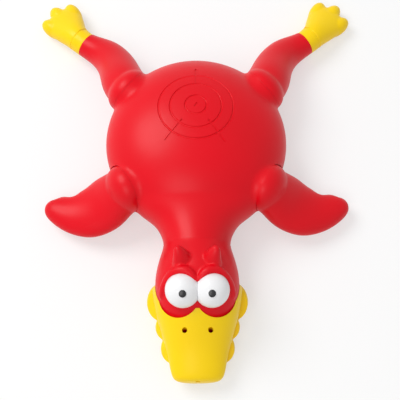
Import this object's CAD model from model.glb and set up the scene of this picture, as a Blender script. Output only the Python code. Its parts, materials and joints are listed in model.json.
"""A soft vinyl squeaky chicken lying on its belly on a white table, seen from above and a little from the
head. Each casting is modelled around its CAD body: the torso with its sockets, neck and target, the head
with its comb, brows, eyes and two-part bill, and the wings, legs and feet that plug into the torso."""

import bpy
import json
import math
from mathutils import Matrix, Vector


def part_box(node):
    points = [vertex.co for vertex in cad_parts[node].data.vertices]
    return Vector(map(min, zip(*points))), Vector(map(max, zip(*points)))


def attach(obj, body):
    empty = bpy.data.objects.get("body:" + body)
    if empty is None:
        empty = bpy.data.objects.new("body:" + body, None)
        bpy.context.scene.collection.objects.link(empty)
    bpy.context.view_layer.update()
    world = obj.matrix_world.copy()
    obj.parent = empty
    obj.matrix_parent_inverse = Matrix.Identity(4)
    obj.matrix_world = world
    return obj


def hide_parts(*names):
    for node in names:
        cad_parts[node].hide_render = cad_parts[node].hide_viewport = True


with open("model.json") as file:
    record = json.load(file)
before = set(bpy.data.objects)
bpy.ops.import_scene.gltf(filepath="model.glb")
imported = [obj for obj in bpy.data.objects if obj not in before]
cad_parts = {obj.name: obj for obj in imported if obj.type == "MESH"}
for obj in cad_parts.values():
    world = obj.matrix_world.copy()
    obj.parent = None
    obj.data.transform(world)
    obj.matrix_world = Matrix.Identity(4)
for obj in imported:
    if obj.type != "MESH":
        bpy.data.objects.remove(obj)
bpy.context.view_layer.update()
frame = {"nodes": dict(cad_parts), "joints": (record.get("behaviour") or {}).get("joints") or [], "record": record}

MM = 0.001
JOINTS = {joint["name"]: joint for joint in frame["joints"]}
NECK_Y = JOINTS["neck_swivel"]["pos_m"][1]
NECK_Z = JOINTS["neck_swivel"]["pos_m"][2]
HIP = Vector(JOINTS["left_hip_swivel"]["pos_m"])
HIP_AXIS = Vector(JOINTS["left_hip_swivel"]["axis"])
SHOULDER = Vector(JOINTS["left_shoulder_swivel"]["pos_m"])
SHOULDER_AXIS = Vector(JOINTS["left_shoulder_swivel"]["axis"])
ANKLE = Vector(JOINTS["left_ankle_swivel"]["pos_m"])
ANKLE_AXIS = Vector(JOINTS["left_ankle_swivel"]["axis"])
TORSO_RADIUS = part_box("torso")[1][0]
DOME_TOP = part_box("torso")[1][2]
EQUATOR = 26 * MM
DOME_RISE = DOME_TOP - EQUATOR
BELLY_DROP = 30 * MM
SEAM_GAP = 0.04 * MM


# ---------------------------------------------------------------- modelling helpers

def mm(*values):
    return Vector(values) * MM


def deselect():
    if bpy.context.object and bpy.context.object.mode != "OBJECT":
        bpy.ops.object.mode_set(mode="OBJECT")
    bpy.ops.object.select_all(action="DESELECT")


def choose(piece):
    deselect()
    piece.select_set(True)
    bpy.context.view_layer.objects.active = piece


def settle(name, size=(1, 1, 1)):
    """Names the new piece, sizes it and puts its place, turn and size into its mesh."""
    piece = bpy.context.object
    piece.name = name
    piece.data.name = name
    piece.scale = size
    bpy.ops.object.transform_apply(location=True, rotation=True, scale=True)
    return piece


def facing(turn=0, rise=90):
    """The turn that points local Z along a heading in plan and a rise, with local X kept level."""
    heading = Matrix.Rotation(math.radians(turn), 3, "Z")
    tilt = Matrix.Rotation(math.radians(90 - rise), 3, "Y")
    return (heading @ tilt @ Matrix.Rotation(math.radians(90), 3, "Z")).to_euler()


def along(axis):
    """The heading and rise of a direction."""
    return math.degrees(math.atan2(axis.y, axis.x)), math.degrees(math.asin(axis.z))


def oval(name, centre, radii, turn=0, tilt=(0, 0), segments=64, rings=40):
    """An egg with its poles upright, tilted and then turned in plan."""
    deselect()
    lean = [math.radians(angle) for angle in (*tilt, turn)]
    bpy.ops.mesh.primitive_uv_sphere_add(segments=segments, ring_count=rings, radius=1, location=centre,
                                         rotation=lean)
    return settle(name, radii)


def rod(name, start, axis, radius, length, sides=64):
    """A cylinder from a point along an axis."""
    deselect()
    bpy.ops.mesh.primitive_cylinder_add(vertices=sides, radius=radius, depth=length,
                                        rotation=facing(*along(axis)), location=start + axis * length / 2)
    return settle(name)


def slab(name, centre, size, rotation=(0, 0, 0)):
    deselect()
    bpy.ops.mesh.primitive_cube_add(size=1, location=centre, rotation=rotation)
    return settle(name, size)


def join(name, pieces):
    deselect()
    for piece in pieces:
        piece.select_set(True)
    bpy.context.view_layer.objects.active = pieces[0]
    if len(pieces) > 1:
        bpy.ops.object.join()
    return settle(name)


def loft(name, rings, levels=2, sides=24):
    """A smooth closed skin bridged through rings of (centre, half-width, half-height, turn, rise)."""
    circles = []
    for centre, wide, tall, turn, rise in rings:
        deselect()
        bpy.ops.mesh.primitive_circle_add(vertices=sides, radius=1, fill_type="NOTHING", location=centre,
                                          rotation=facing(turn, rise))
        circles.append(settle("ring", (wide, tall, 1)))
    skin = join(name, circles)
    bpy.ops.object.mode_set(mode="EDIT")
    bpy.ops.mesh.select_all(action="SELECT")
    bpy.ops.mesh.bridge_edge_loops()
    bpy.ops.mesh.select_all(action="SELECT")
    bpy.ops.mesh.fill_holes(sides=0)
    bpy.ops.mesh.normals_make_consistent(inside=False)
    bpy.ops.object.mode_set(mode="OBJECT")
    finish_with(skin, "SUBSURF", levels=levels, render_levels=levels)
    return skin


def tube(name, line, levels=2, sides=16):
    """A smooth closed roll that follows a line of (point, half-width, half-height)."""
    rings = []
    for number, (point, wide, tall) in enumerate(line):
        before = line[max(number - 1, 0)][0]
        after = line[min(number + 1, len(line) - 1)][0]
        rings.append((point, wide, tall, *along((after - before).normalized())))
    return loft(name, rings, levels=levels, sides=sides)


def finish_with(piece, kind, **settings):
    """Adds one modifier and applies it."""
    choose(piece)
    modifier = piece.modifiers.new("work", kind)
    for key, value in settings.items():
        setattr(modifier, key, value)
    bpy.ops.object.modifier_apply(modifier=modifier.name)


def combine(piece, tool, operation, keep=False):
    finish_with(piece, "BOOLEAN", operation=operation, object=tool, solver="MANIFOLD")
    if not keep:
        bpy.data.objects.remove(tool)
    return piece


def cut_away(piece, *tools):
    for tool in tools:
        combine(piece, tool, "DIFFERENCE")
    return piece


def melt(name, pieces, grain, rounds):
    """One skin over several lumps, with the hollows between them softened."""
    piece = join(name, pieces)
    finish_with(piece, "REMESH", mode="VOXEL", voxel_size=grain, adaptivity=0)
    if rounds:
        finish_with(piece, "SMOOTH", factor=0.5, iterations=rounds)
    return piece


def soften(piece, region, rounds):
    """Smooths only the skin between two corners."""
    low, high = region
    group = piece.vertex_groups.new(name="soft")
    inside = [vertex.index for vertex in piece.data.vertices
              if all(a <= value <= b for a, value, b in zip(low, vertex.co, high))]
    group.add(inside, 1, "REPLACE")
    finish_with(piece, "SMOOTH", factor=0.5, iterations=rounds, vertex_group="soft")
    piece.vertex_groups.clear()


def trim(piece, point, normal):
    """Cuts off what lies beyond a plane and closes the cut with a flat face."""
    choose(piece)
    bpy.ops.object.mode_set(mode="EDIT")
    bpy.ops.mesh.select_all(action="SELECT")
    bpy.ops.mesh.bisect(plane_co=point, plane_no=normal, use_fill=True, clear_outer=True)
    bpy.ops.object.mode_set(mode="OBJECT")
    return piece


def smooth(piece, angle=35):
    choose(piece)
    bpy.ops.object.shade_smooth_by_angle(angle=math.radians(angle))
    return piece


def copy(piece, name):
    choose(piece)
    bpy.ops.object.duplicate()
    return settle(name)


def mirrored(piece, name):
    """The same casting on the toy's other side, with its faces turned outwards again."""
    copy(piece, name)
    twin = settle(name, (-1, 1, 1))
    bpy.ops.object.mode_set(mode="EDIT")
    bpy.ops.mesh.select_all(action="SELECT")
    bpy.ops.mesh.normals_make_consistent(inside=False)
    bpy.ops.object.mode_set(mode="OBJECT")
    return twin


def from_neck(x, front, z):
    """A point in front of the neck seam, in millimetres."""
    return Vector((x * MM, NECK_Y - front * MM, z * MM))


# ---------------------------------------------------------------- torso

def dome_height(x, y):
    """How high the torso's back is over a point of the table."""
    return EQUATOR + DOME_RISE * math.sqrt(1 - (x * x + y * y) / TORSO_RADIUS ** 2)


def make_torso():
    """The dome, the belly with its flat rest, the neck and the four drums that hold the sockets."""
    body = oval("torso_skin", (0, 0, EQUATOR), (TORSO_RADIUS, TORSO_RADIUS, DOME_RISE), segments=96, rings=64)
    bpy.ops.object.mode_set(mode="EDIT")
    bpy.ops.mesh.select_all(action="DESELECT")
    bpy.ops.mesh.select_mode(type="VERT")
    bpy.ops.object.mode_set(mode="OBJECT")
    for vertex in body.data.vertices:
        vertex.select = vertex.co.z < EQUATOR - 0.1 * MM
    bpy.ops.object.mode_set(mode="EDIT")
    bpy.ops.transform.resize(value=(1, 1, BELLY_DROP / DOME_RISE), center_override=(0, 0, EQUATOR))
    bpy.ops.object.mode_set(mode="OBJECT")
    trim(body, (0, 0, BELLY_LIFT), (0, 0, -1))
    neck = loft("neck", [(from_neck(0, front, z), wide * MM, tall * MM, -90, 0)
                         for front, wide, tall, z in NECK])
    drums = []
    for side in (1, -1):
        flip = Vector((side, 1, 1))
        for seam, axis in LIMB_SEAMS:
            drums.append(tube("drum", [((seam + axis * out * MM) * flip, radius * MM, radius * MM)
                                       for out, radius in DRUM], sides=24))
    skin = melt("torso_skin", [body, neck] + drums, 1.1 * MM, 14)
    soften(skin, NAPE, 26)
    trim(skin, (0, NECK_Y + SEAM_GAP, 0), (0, -1, 0))
    for side in (1, -1):
        flip = Vector((side, 1, 1))
        for seam, axis in LIMB_SEAMS:
            start = (seam - axis * SEAM_GAP) * flip
            cut_away(skin, rod("beyond", start, axis * flip, SEAM_CUT, SEAM_CUT_DEPTH))
    cut_target(skin)
    cut_squeaker_seat(skin)
    return smooth(skin)


NECK = ((-38, 46.5, 23, 25.6), (-33, 45.2, 24.6, 26), (-29.5, 43.2, 23.4, 26.2), (-25.5, 40.4, 22.3, 26.4),
        (-21.5, 35.8, 21.6, 26.7), (-18, 30.8, 21.3, 26.9), (-14.5, 27, 21.2, 27), (-9, 23.7, 21.3, 27),
        (-4, 22, 21.6, 27), (0, 21.7, 21.7, 27), (4, 22, 22, 27), (8, 22, 22, 27))
DRUM = ((-34, 25), (-27, 23), (-20, 21), (-13, 18.8), (-7, 17.2), (-3, 16.4), (1, 16.1), (4, 16.0), (6, 16.0))
NAPE = (mm(-40, -66, 30), mm(40, -30, 60))
LIMB_SEAMS = ((HIP, HIP_AXIS), (SHOULDER, SHOULDER_AXIS))
SEAM_CUT = 16.9 * MM
SEAM_CUT_DEPTH = 12 * MM
BELLY_LIFT = 0.05 * MM
TARGET_Y = 12.5 * MM
TARGET_LEAN = 7
RINGS = (7 * MM, 16.8 * MM, 24.4 * MM)
TICKS = ((24.5 * MM, 90, 14 * MM), (22.8 * MM, 231, 18 * MM), (22.8 * MM, 305, 18 * MM), (0, 60, 3 * MM))
RING_GROOVE = 0.7 * MM
TICK_WIDTH = 1.0 * MM
TICK_DEPTH = 0.6 * MM


def cut_target(skin):
    """Three rings and their ticks, engraved just under the skin of the back."""
    lean = Matrix.Rotation(math.radians(-TARGET_LEAN), 3, "X")
    radii = [TORSO_RADIUS - TICK_DEPTH] * 2 + [DOME_RISE - TICK_DEPTH]
    floor = oval("under_skin", (0, 0, EQUATOR), radii, segments=128, rings=96)
    for radius in RINGS:
        centre = Vector((0, TARGET_Y, dome_height(radius, TARGET_Y)))
        deselect()
        bpy.ops.mesh.primitive_torus_add(location=centre, rotation=lean.to_euler(), major_segments=128,
                                         minor_segments=12, major_radius=radius, minor_radius=RING_GROOVE)
        cut_away(skin, settle("ring"))
    for radius, direction, length in TICKS:
        heading = math.radians(direction)
        middle = lean @ Vector((math.cos(heading), math.sin(heading), 0)) * radius + Vector((0, TARGET_Y, 0))
        place = (middle.x, middle.y, DOME_TOP - 4 * MM)
        blade = slab("tick", place, (length, TICK_WIDTH, 16 * MM), (0, 0, heading))
        combine(blade, floor, "DIFFERENCE", keep=True)
        cut_away(skin, blade)
    bpy.data.objects.remove(floor)


def cut_squeaker_seat(skin):
    low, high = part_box("squeaker_housing")
    middle = Vector(((low[0] + high[0]) / 2, (low[1] + high[1]) / 2, -1 * MM))
    radius = (high[0] - low[0]) / 2 + 0.3 * MM
    cut_away(skin, rod("seat", middle, Vector((0, 0, 1)), radius, high[2] + 2 * MM))


# ---------------------------------------------------------------- wings, legs and feet

WING = ((-3, 1.5, -0.5, 15.4, 15.4, -29, 12), (3, -1.4, -2.8, 15.8, 14.2, -27, -6),
        (9.5, -4.8, -8.4, 18.4, 11.2, -23, -24), (16, -7.4, -12.8, 19.4, 9.8, -17, -22),
        (24.5, -10.8, -16.4, 18.2, 9.2, -9, -16), (33.6, -11.7, -19.0, 15.3, 8.6, -6, -8),
        (42.3, -9.9, -20.2, 12.6, 7.8, 4, -2), (50.1, -6.8, -20.7, 9.2, 6.6, 10, 0),
        (54.3, -5.8, -20.8, 5.8, 4.6, 12, 0), (56.6, -5.3, -20.8, 2.4, 2.0, 12, 0))
SHOULDER_LOBE = (12.4, 16.4)
KNUCKLE_NOTCHES = ((38.2, 7.6, 6.6), (51.4, 5.6, 6.0))
THIGH = ((-3, -1, -1, 15.2, 15, 44, 8), (1.5, 4, -2.6, 15.4, 15.2, 52, -6),
         (5.65, 12.25, -6.4, 15.4, 15, 64, -14), (9.25, 25.75, -13.0, 14, 13.3, 62, -14),
         (16.65, 37.25, -16.9, 12.4, 12, 46, -6), (24.25, 42.95, -18.5, 10.5, 10.2, 38, -2),
         (33.25, 47.95, -18.9, 8.9, 9.0, 38, 3), (39, 52.4, -18.5, 8.8, 9.0, 38, 3))
HAUNCH_LOBE = (12, 16.1)
FOOT = ((-4, -3, 0, 8.8, 9.0, 38, 3), (0, 0, 0, 8.9, 9.0, 38, 3), (5.4, 4.4, 0, 9.1, 9.2, 41, 0),
        (8.2, 7.8, -0.4, 9.6, 9.2, 46, -6), (11.8, 13.0, -2.0, 11.8, 8.9, 50, -10),
        (15.2, 17.9, -3.4, 13.6, 8.2, 51, -8), (19.0, 23.2, -4.4, 14.6, 7.3, 51, -4),
        (22.0, 27.2, -4.9, 12.6, 6.0, 51, 0), (23.6, 29.2, -5.1, 8.4, 4.0, 51, 0),
        (24.3, 30.1, -5.2, 3.6, 1.8, 51, 0))
TOES = (("inner", 29.9, 17.4), ("middle", 33.3, 1.0), ("outer", 30.0, -16.4))
FOOT_TURN = 50
TOE = (10.8 * MM, 6.2 * MM, 6.7 * MM)
TOE_LIFT = 0.3 * MM
GROOVE_OUT = 7.4 * MM
GROOVE_RADIUS = 9.0 * MM
GROOVE_CUT = 0.85 * MM


def run_of(base, table):
    """A limb's rings: (out, back, up) from its joint, half-width, half-height, turn and rise."""
    return [(base + mm(out, back, up), wide * MM, tall * MM, turn, rise)
            for out, back, up, wide, tall, turn, rise in table]


def lobe(name, seam, axis, size):
    """A half-egg on the seam of a limb, as deep as the first number and as wide as the second."""
    deep, wide = size
    deselect()
    bpy.ops.mesh.primitive_uv_sphere_add(segments=64, ring_count=40, radius=1, location=seam,
                                         rotation=facing(*along(axis)))
    return settle(name, mm(wide, wide, deep))


def make_wing():
    """A half-egg of a shoulder with a drooping blade under it, which has two soft notches near its tip."""
    blade = loft("left_wing_skin", run_of(SHOULDER, WING), levels=3)
    for out, back, radius in KNUCKLE_NOTCHES:
        notch = rod("notch", SHOULDER + mm(out, back, -40), Vector((0, 0, 1)), radius * MM, 60 * MM)
        cut_away(blade, notch)
    blade = melt("left_wing_skin", [blade], 0.9 * MM, 8)
    shoulder = lobe("shoulder", SHOULDER, SHOULDER_AXIS, SHOULDER_LOBE)
    skin = melt("left_wing_skin", [blade, shoulder], 0.8 * MM, 4)
    trim(skin, SHOULDER + SHOULDER_AXIS * SEAM_GAP, -SHOULDER_AXIS)
    return smooth(skin)


def make_leg():
    """A half-egg of a haunch with the thigh and shank running out from under it."""
    haunch = lobe("haunch", HIP, HIP_AXIS, HAUNCH_LOBE)
    thigh = loft("thigh", run_of(HIP, THIGH))
    skin = melt("left_leg_skin", [haunch, thigh], 0.8 * MM, 10)
    trim(skin, HIP + HIP_AXIS * SEAM_GAP, -HIP_AXIS)
    trim(skin, ANKLE - ANKLE_AXIS * SEAM_GAP, ANKLE_AXIS)
    return smooth(skin)


def make_foot():
    """A cuff with a groove round it and a smooth pad that ends in three blunt toes."""
    pieces = [loft("cuff", run_of(ANKLE, FOOT))]
    ankle = Vector((ANKLE.x, ANKLE.y, TOE[2] + TOE_LIFT))
    for name, reach, turn in TOES:
        heading = math.radians(FOOT_TURN + turn)
        middle = ankle + Vector((math.cos(heading), math.sin(heading), 0)) * reach * MM
        pieces.append(oval(name, middle, TOE, turn=FOOT_TURN + turn))
    skin = melt("left_foot_skin", pieces, 0.7 * MM, 4)
    trim(skin, ANKLE + ANKLE_AXIS * SEAM_GAP, -ANKLE_AXIS)
    deselect()
    bpy.ops.mesh.primitive_torus_add(location=ANKLE + ANKLE_AXIS * GROOVE_OUT, rotation=facing(40, 0),
                                     major_segments=96, minor_segments=12, major_radius=GROOVE_RADIUS,
                                     minor_radius=GROOVE_CUT)
    cut_away(skin, settle("groove"))
    return smooth(skin)


# ---------------------------------------------------------------- head, bill and eyes

SKULL = ((-8, 22, 22, 27), (-4, 21.9, 21.9, 27), (0, 21.8, 21.8, 27), (5, 23.2, 22.8, 27.6),
         (11, 25.0, 24.2, 28.4), (22, 27.4, 25.4, 28.5), (34, 26.5, 22.4, 26.6), (45, 24.2, 18.6, 22.4),
         (52, 19.4, 13.4, 19.4), (55, 10, 6, 19.0))
BILL = ((23.4, 27.2, 18.8, 22.2), (25.2, 29.0, 20.8, 22.6), (32, 28.8, 21.9, 22.8), (43, 26.6, 20.5, 23.0),
        (55, 22.8, 15.5, 19.0), (64, 20.0, 12.0, 16.0), (72, 18.3, 10.0, 13.8), (78, 17.2, 8.6, 12.2),
        (81.6, 15.6, 7.4, 11.4), (83.2, 12.6, 6.0, 11.0), (83.8, 7, 3.4, 10.8))
LIPS = ((33.5, 22.6, 12.6, 9.8, 5.6), (49.0, 18.8, 9.0, 8.2, 5.0), (62.0, 15.5, 9.8, 8.1, 4.6))
LIP_DROP = 2.4
MOUTH = ((31, 21), 13)
EYE_X, EYE_FRONT, EYE_Z = 8.9, 32.8, 46.2
EYE_LEAN = 20
EYE = (10.9, 11.0, 9.8)
EYE_FLAT = 0.03 * MM
PUPIL_LOW = 1.3
PUPIL = 2.2 * MM
PUPIL_PROUD = 0.5
PUPIL_GAP = 0.1 * MM
PUPIL_BEVEL = 0.35 * MM
DOME_BEVEL = 0.4 * MM
RIM = (13.2, 14.6)
RIM_SPOT = (11.0, 33.4)
BROW = ((0.4, 29.6, 49.6, 2.2), (2.4, 25.6, 51.6, 2.8), (5.8, 22.2, 52.6, 3.2), (10.4, 21.2, 51.8, 3.3),
        (15.2, 22.8, 49.0, 3.1), (19.2, 26.8, 44.6, 2.8), (21.8, 31.6, 39.6, 2.4), (22.6, 36.0, 34.8, 1.6))
COMB = ((8.4, 17.6, 44, 7.4, 5.4), (8.8, 15.8, 49, 7.0, 4.9), (9.8, 13.2, 53.0, 5.4, 3.9),
        (11.2, 10.6, 56.4, 3.5, 2.8), (12.4, 8.6, 58.6, 1.8, 1.5))
BED_GAP = 0.1
SEAT_GAP = 0.15
LIP_GAP = 0.1 * MM
NOSTRIL = (8, 54.8, 20)
NOSTRIL_RADIUS = 1.6 * MM
VENT = (0, 84, 15.0)
VENT_SIZE = (2.8, 5, 2.0)


def head_rings(table):
    return [(from_neck(0, front, z), wide * MM, tall * MM, -90, 0) for front, wide, tall, z in table]


def eye_ball(name, grow):
    """The left eye's egg, leaning forwards, grown all round by a gap."""
    centre = from_neck(EYE_X, EYE_FRONT, EYE_Z)
    return oval(name, centre, [(radius + grow) * MM for radius in EYE], tilt=(EYE_LEAN, 0))


def make_head():
    """The skull with its two leaning comb stubs and the brows that frown round the eyes."""
    brow = tube("brow", [(from_neck(x, front, z), radius * MM, radius * MM) for x, front, z, radius in BROW])
    comb = tube("comb", [(from_neck(x, front, z), wide * MM, deep * MM) for x, front, z, wide, deep in COMB])
    skull = loft("skull", head_rings(SKULL))
    lumps = [skull, brow, comb, mirrored(brow, "right_brow"), mirrored(comb, "right_comb")]
    skin = melt("head_skin", lumps, 0.7 * MM, 5)
    bed = eye_ball("eye_bed", BED_GAP)
    cut_away(skin, mirrored(bed, "right_eye_bed"), bed)
    trim(skin, (0, NECK_Y - SEAM_GAP, 0), (0, 1, 0))
    return smooth(skin)


def mouth_slab(gap, above):
    (front, z), slope = MOUTH
    lean = Matrix.Rotation(math.radians(slope), 3, "X")
    middle = from_neck(0, front, z) + lean @ Vector((0, 0, (40 * MM + gap) * (1 if above else -1)))
    return slab("mouth", middle, (160 * MM, 260 * MM, 80 * MM), lean.to_euler())


def bill_form(name):
    return loft(name, head_rings(BILL), levels=3)


def make_bill():
    """The upper and lower bill, cut from one form along the mouth, with lobes along the lower one's lips."""
    upper = melt("upper_bill_skin", [bill_form("upper")], 0.7 * MM, 4)
    combine(upper, mouth_slab(LIP_GAP, True), "INTERSECT")
    lower = [bill_form("lower")]
    (mouth_front, mouth_z), slope = MOUTH
    for side in (1, -1):
        for front, out, length, width, tall in LIPS:
            z = mouth_z - (front - mouth_front) * math.tan(math.radians(slope)) - LIP_DROP
            lower.append(oval("lip", from_neck(out * side, front, z), mm(width, length, tall)))
    lower = melt("lower_bill_skin", lower, 0.7 * MM, 4)
    combine(lower, mouth_slab(LIP_GAP, False), "INTERSECT")
    return upper, lower


def main_pieces():
    """The torso and the limbs, each right limb a mirrored copy of the left one."""
    pieces = {"torso": make_torso(), "left_wing": make_wing(), "left_leg": make_leg(),
              "left_foot": make_foot()}
    for name in ("wing", "leg", "foot"):
        pieces["right_" + name] = mirrored(pieces["left_" + name], f"right_{name}_skin")
    return pieces


def head_seat(grow):
    """The face's form, grown all round, for what is seated on it."""
    return loft("seat", [(from_neck(0, front, z), (wide + grow) * MM, (tall + grow) * MM, -90, 0)
                         for front, wide, tall, z in SKULL], levels=3)


def finish_bill(upper, lower):
    """Opens the bill for the head behind it, the rims under the eyes, the nostrils and the vent."""
    for side in (1, -1):
        deselect()
        bpy.ops.mesh.primitive_cylinder_add(vertices=96, radius=1, depth=80 * MM,
                                            location=from_neck(RIM_SPOT[0] * side, RIM_SPOT[1], 40))
        cut_away(upper, settle("rim", (RIM[0] * MM, RIM[1] * MM, 1)))
    for part in (upper, lower):
        cut_away(part, head_seat(SEAT_GAP))
    for side in (1, -1):
        out, front, z = NOSTRIL
        foot = from_neck(out * side, front, z)
        cut_away(upper, rod("nostril", foot, Vector((0, 0, 1)), NOSTRIL_RADIUS, 40 * MM, sides=32))
    cut_away(upper, slab("vent", from_neck(*VENT), mm(*VENT_SIZE)))
    return smooth(upper), smooth(lower)


def make_eye():
    """A white dome, flat where it meets the other one, with a pupil bead let into it."""
    dome = eye_ball("left_eye_skin", 0)
    trim(dome, (EYE_FLAT, 0, 0), (-1, 0, 0))
    finish_with(dome, "BEVEL", width=DOME_BEVEL, segments=3, limit_method="ANGLE",
                angle_limit=math.radians(25))
    lean = Matrix.Rotation(math.radians(EYE_LEAN), 3, "X")
    spot = from_neck(EYE_X, EYE_FRONT, EYE_Z) + lean @ mm(0, -PUPIL_LOW, 0)
    out = lean @ Vector((0, 0, 1))
    cap = eye_ball("left_pupil_skin", PUPIL_PROUD)
    combine(cap, rod("pin", spot + out * 6 * MM, out, PUPIL, 20 * MM), "INTERSECT")
    finish_with(cap, "BEVEL", width=PUPIL_BEVEL, segments=4, limit_method="ANGLE",
                angle_limit=math.radians(50))
    cut_away(dome, rod("hole", spot + out * 7 * MM, out, PUPIL + PUPIL_GAP, 20 * MM))
    return smooth(dome, 40), smooth(cap, 40)


# ---------------------------------------------------------------- materials

class Value:
    """A shader socket that arithmetic can be written with."""

    def __init__(self, nodes, socket):
        self.nodes = nodes
        self.socket = socket

    def maths(self, operation, other, flip=False):
        first, second = (other, self) if flip else (self, other)
        return self.nodes.add("ShaderNodeMath", {"operation": operation}, {0: first, 1: second})

    def __add__(self, other):
        return self.maths("ADD", other)

    def __radd__(self, other):
        return self.maths("ADD", other, True)

    def __sub__(self, other):
        return self.maths("SUBTRACT", other)

    def __rsub__(self, other):
        return self.maths("SUBTRACT", other, True)

    def __mul__(self, other):
        return self.maths("MULTIPLY", other)

    def __rmul__(self, other):
        return self.maths("MULTIPLY", other, True)


class Nodes:
    """A node tree that is added to by node type, settings and inputs."""

    def __init__(self, tree):
        self.tree = tree

    def add(self, kind, settings=None, inputs=None, output=0):
        node = self.tree.nodes.new(kind)
        for key, value in (settings or {}).items():
            setattr(node, key, value)
        for key, value in (inputs or {}).items():
            self.plug(value, node.inputs[key])
        return Value(self, node.outputs[output])

    def plug(self, value, socket):
        if isinstance(value, Value):
            self.tree.links.new(value.socket, socket)
        else:
            socket.default_value = value

    def seen(self):
        """1 where the camera, a reflection or clear plastic looks, 0 for the light on the toy."""
        camera = self.add("ShaderNodeLightPath", output="Is Camera Ray")
        glossy = self.add("ShaderNodeLightPath", output="Is Glossy Ray")
        through = self.add("ShaderNodeLightPath", output="Is Transmission Ray")
        return self.add("ShaderNodeMath", {"operation": "MAXIMUM"}, {0: camera, 1: glossy + through})


class Finish(Nodes):
    """A node material with one Principled surface."""

    def __init__(self, name, **surface):
        self.material = bpy.data.materials.new(name)
        self.material.use_nodes = True
        super().__init__(self.material.node_tree)
        self.tree.nodes.clear()
        self.surface = self.tree.nodes.new("ShaderNodeBsdfPrincipled")
        self.output = self.tree.nodes.new("ShaderNodeOutputMaterial")
        self.tree.links.new(self.surface.outputs[0], self.output.inputs["Surface"])
        for key, value in surface.items():
            self.surface.inputs[key.replace("_", " ")].default_value = value

    def noise(self, scale, detail=3.0, roughness=0.5):
        place = self.add("ShaderNodeTexCoord", output="Object")
        return self.add("ShaderNodeTexNoise", {}, {"Vector": place, "Scale": scale, "Detail": detail,
                                                   "Roughness": roughness})

    def spread(self, value, low, high):
        return self.add("ShaderNodeMapRange", {"interpolation_type": "SMOOTHSTEP"},
                        {"Value": value, "From Min": low, "From Max": high})

    def blend(self, amount, first, second):
        return self.add("ShaderNodeMix", {"data_type": "RGBA"}, {0: amount, 6: first, 7: second}, output=2)

    def surface_is(self, **links):
        for key, value in links.items():
            self.plug(value, self.surface.inputs[key.replace("_", " ")])

    def bump(self, height, distance, strength=1.0):
        return self.add("ShaderNodeBump", {}, {"Height": height, "Distance": distance, "Strength": strength})


def vinyl(name, colour, deep, pale, roughness):
    """Soft moulded vinyl: slightly uneven colour, a satin skin and the finest orange peel."""
    finish = Finish(name, IOR=1.5, Coat_Roughness=0.25, Specular_IOR_Level=0.18)
    broad = finish.spread(finish.noise(18, 2), 0.35, 0.65)
    fine = finish.noise(260, 4, 0.6)
    tint = finish.blend(broad * 0.5, colour, deep)
    tint = finish.blend(finish.spread(fine, 0.62, 0.8) * 0.25, tint, pale)
    peel = finish.noise(900, 2)
    ripple = finish.noise(60, 2)
    finish.surface_is(Base_Color=tint, Roughness=roughness + (fine - 0.5) * 0.10 + (broad - 0.5) * 0.04,
                      Coat_Weight=0.06 + broad * 0.06,
                      Normal=finish.bump(peel * 0.35 + ripple, 0.00012, 0.6))
    return finish.material


def make_finishes():
    """One finish for each of the record's material slots, by the slot's name."""
    eye = Finish("white_vinyl", IOR=1.5, Coat_Weight=0.3, Coat_Roughness=0.1)
    cloud = eye.noise(70, 2)
    eye.surface_is(Base_Color=eye.blend(cloud, (0.84, 0.84, 0.85, 1), (0.90, 0.90, 0.91, 1)),
                   Roughness=0.30 + cloud * 0.08, Normal=eye.bump(eye.noise(500, 2), 0.00005))
    pupil = Finish("black_bead", IOR=1.5, Specular_IOR_Level=0.3, Coat_Weight=0.2, Coat_Roughness=0.08)
    speck = pupil.noise(400, 2)
    pupil.surface_is(Base_Color=pupil.blend(speck, (0.006, 0.006, 0.007, 1), (0.014, 0.014, 0.016, 1)),
                     Roughness=0.22 + speck * 0.1)
    squeaker = Finish("squeaker_plastic", IOR=1.48)
    grain = squeaker.noise(300, 3)
    squeaker.surface_is(Base_Color=squeaker.blend(grain, (0.70, 0.68, 0.60, 1), (0.80, 0.78, 0.71, 1)),
                        Roughness=0.42 + grain * 0.15, Normal=squeaker.bump(grain, 0.00005))
    film = Finish("reed_film", IOR=1.5)
    streak = film.noise(500, 2)
    film.surface_is(Base_Color=film.blend(streak, (0.55, 0.50, 0.36, 1), (0.66, 0.62, 0.48, 1)),
                    Roughness=0.3 + streak * 0.1)
    red = vinyl("red_vinyl", (0.76, 0.0008, 0.010, 1), (0.68, 0.0005, 0.007, 1), (0.82, 0.008, 0.024, 1),
                0.40)
    yellow = vinyl("yellow_vinyl", (1.0, 0.68, 0.004, 1), (0.96, 0.62, 0.002, 1), (1.0, 0.72, 0.02, 1), 0.38)
    return {"red_vinyl": red, "yellow_vinyl": yellow, "white_vinyl": eye.material,
            "black_plastic": pupil.material, "squeaker_plastic": squeaker.material,
            "reed_film": film.material}


def dress(piece, material):
    piece.data.materials.clear()
    piece.data.materials.append(material)


# ---------------------------------------------------------------- the toy

def assemble():
    """Makes each visible casting, sets it on its body and dresses it; the squeaker keeps its CAD form."""
    finishes = make_finishes()
    pieces = main_pieces()
    head = make_head()
    upper, lower = finish_bill(*make_bill())
    dome, bead = make_eye()
    pieces.update({"head": head, "upper_bill": upper, "lower_bill": lower, "left_eye": dome,
                   "left_pupil": bead, "right_eye": mirrored(dome, "right_eye_skin"),
                   "right_pupil": mirrored(bead, "right_pupil_skin")})
    bodies = frame["record"]["behaviour"]["bodies"]
    slots = {entry["node"]: entry["material_slot"] for entry in frame["record"]["subparts"]}
    for node, piece in pieces.items():
        dress(piece, finishes[slots[node]])
        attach(piece, next(body for body, nodes in bodies.items() if node in nodes))
        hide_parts(node)
    for node, slot in slots.items():
        if node not in pieces:
            dress(frame["nodes"][node], finishes[slot])


# ---------------------------------------------------------------- table, lamps and camera

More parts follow.
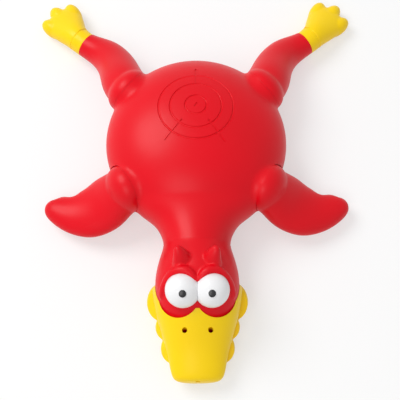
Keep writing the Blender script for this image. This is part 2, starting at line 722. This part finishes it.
def lamp(name, place, aim, size, power):
    deselect()
    bpy.ops.object.light_add(type="AREA", location=place)
    light = bpy.context.object
    light.name = name
    light.data.shape = "DISK"
    light.data.size = size
    light.data.energy = power
    light.rotation_euler = (Vector(aim) - Vector(place)).to_track_quat("-Z", "Y").to_euler()


TABLE_GLOW = 0.52
WORLD_LIGHT = 0.5


def make_table():
    """White paper that the camera sees bright, with the toy's soft shadow on it."""
    deselect()
    bpy.ops.mesh.primitive_plane_add(size=6, location=(0, 0, 0))
    table = settle("table")
    paper = Finish("white_table", Roughness=0.9)
    paper.surface.inputs["Base Color"].default_value = (0.94, 0.94, 0.94, 1)
    glow = paper.add("ShaderNodeEmission", {}, {"Color": (1, 1, 1, 1), "Strength": 1.0})
    mix = paper.add("ShaderNodeMixShader", {}, {0: paper.seen() * TABLE_GLOW,
                                                1: Value(paper, paper.surface.outputs[0]), 2: glow})
    paper.plug(mix, paper.output.inputs["Surface"])
    dress(table, paper.material)


def make_world():
    """Plain soft light from all round, white where the camera or a reflection sees it."""
    world = bpy.data.worlds.new("studio")
    bpy.context.scene.world = world
    world.use_nodes = True
    nodes = Nodes(world.node_tree)
    level = nodes.add("ShaderNodeMapRange", {}, {"Value": nodes.seen(), "To Min": WORLD_LIGHT, "To Max": 1.0})
    background = nodes.tree.nodes["Background"]
    background.inputs["Color"].default_value = (1, 1, 1, 1)
    nodes.plug(level, background.inputs["Strength"])


CAMERA_ROLL = -0.5
CAMERA_TILT = 20.5
CAMERA_DISTANCE = 528 * MM
CAMERA_AIM = Vector((2.2 * MM, NECK_Y + 33 * MM, EQUATOR))


def make_camera():
    tilt = math.radians(CAMERA_TILT)
    deselect()
    heading = Matrix.Rotation(math.radians(CAMERA_ROLL), 3, "Z")
    back = heading @ Vector((0, -math.sin(tilt), math.cos(tilt)))
    bpy.ops.object.camera_add(location=CAMERA_AIM + back * CAMERA_DISTANCE,
                              rotation=(tilt, 0, math.radians(CAMERA_ROLL)))
    camera = bpy.context.object
    camera.name = "camera"
    camera.data.lens = 72
    camera.data.sensor_width = 36
    bpy.context.scene.camera = camera


assemble()
make_table()
make_world()
lamp("window", (-0.9, 0.5, 1.3), (0, -0.02, 0), 1.0, 15)
lamp("fill", (-0.4, -0.9, 1.3), (0, -0.1, 0), 0.8, 5)
make_camera()
bpy.context.scene.view_settings.view_transform = "Standard"
